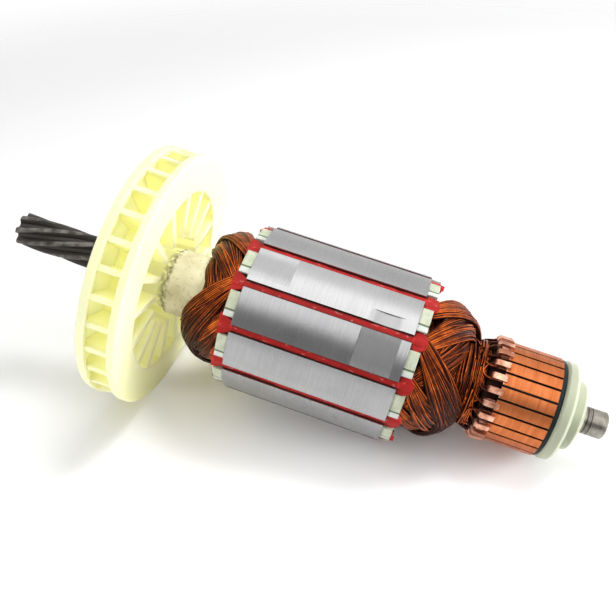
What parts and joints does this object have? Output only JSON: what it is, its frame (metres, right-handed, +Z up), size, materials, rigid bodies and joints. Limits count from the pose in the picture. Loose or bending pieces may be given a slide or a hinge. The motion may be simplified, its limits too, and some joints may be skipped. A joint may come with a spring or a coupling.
{
  "type": "motor armature",
  "caption": "Wound motor armature: laminated slotted core on a steel shaft with a helical pinion, moulded fan, copper-barred commutator with hooked leads, and dust washer.",
  "frame": {"origin": "on the shaft axis where the bearing journal beside the commutator begins", "axes": "+X along the shaft toward the commutator end, +Z up"},
  "size_m": [0.1827, 0.0778, 0.0778],
  "materials": {
    "shaft_steel": "ground journals, dark oiled pinion",
    "core_steel": "turned stack of bare laminations",
    "enamelled_wire": "varnished copper wire",
    "bar_copper": "turned copper",
    "hub_resin": "moulded black resin",
    "fan_nylon": "cream nylon, slightly translucent",
    "sleeve_resin": "rough off-white moulding",
    "end_fibre": "pale fibre board",
    "liner_paper": "red insulating paper",
    "wedge_fibre": "red vulcanised fibre",
    "washer_nylon": "milky white nylon"
  },
  "bodies": {
    "root": {"shaft": "shaft_steel", "fan": "fan_nylon", "shaft_sleeve": "sleeve_resin", "lamination_stack": "core_steel", "drive_end_insulator": "end_fibre", "commutator_end_insulator": "end_fibre", "slot_liners": "liner_paper", "coil_leads": "enamelled_wire", "commutator_hub": "hub_resin", "dust_washer": "washer_nylon", "coil_01": "enamelled_wire", "coil_02": "enamelled_wire", "coil_03": "enamelled_wire", "coil_04": "enamelled_wire", "coil_05": "enamelled_wire", "coil_06": "enamelled_wire", "coil_07": "enamelled_wire", "coil_08": "enamelled_wire", "coil_09": "enamelled_wire", "coil_10": "enamelled_wire", "coil_11": "enamelled_wire", "coil_12": "enamelled_wire", "slot_wedge_01": "wedge_fibre", "slot_wedge_02": "wedge_fibre", "slot_wedge_03": "wedge_fibre", "slot_wedge_04": "wedge_fibre", "slot_wedge_05": "wedge_fibre", "slot_wedge_06": "wedge_fibre", "slot_wedge_07": "wedge_fibre", "slot_wedge_08": "wedge_fibre", "slot_wedge_09": "wedge_fibre", "slot_wedge_10": "wedge_fibre", "slot_wedge_11": "wedge_fibre", "slot_wedge_12": "wedge_fibre", "commutator_bar_01": "bar_copper", "commutator_bar_02": "bar_copper", "commutator_bar_03": "bar_copper", "commutator_bar_04": "bar_copper", "commutator_bar_05": "bar_copper", "commutator_bar_06": "bar_copper", "commutator_bar_07": "bar_copper", "commutator_bar_08": "bar_copper", "commutator_bar_09": "bar_copper", "commutator_bar_10": "bar_copper", "commutator_bar_11": "bar_copper", "commutator_bar_12": "bar_copper", "commutator_bar_13": "bar_copper", "commutator_bar_14": "bar_copper", "commutator_bar_15": "bar_copper", "commutator_bar_16": "bar_copper", "commutator_bar_17": "bar_copper", "commutator_bar_18": "bar_copper", "commutator_bar_19": "bar_copper", "commutator_bar_20": "bar_copper", "commutator_bar_21": "bar_copper", "commutator_bar_22": "bar_copper", "commutator_bar_23": "bar_copper", "commutator_bar_24": "bar_copper"}
  },
  "joints": []
}
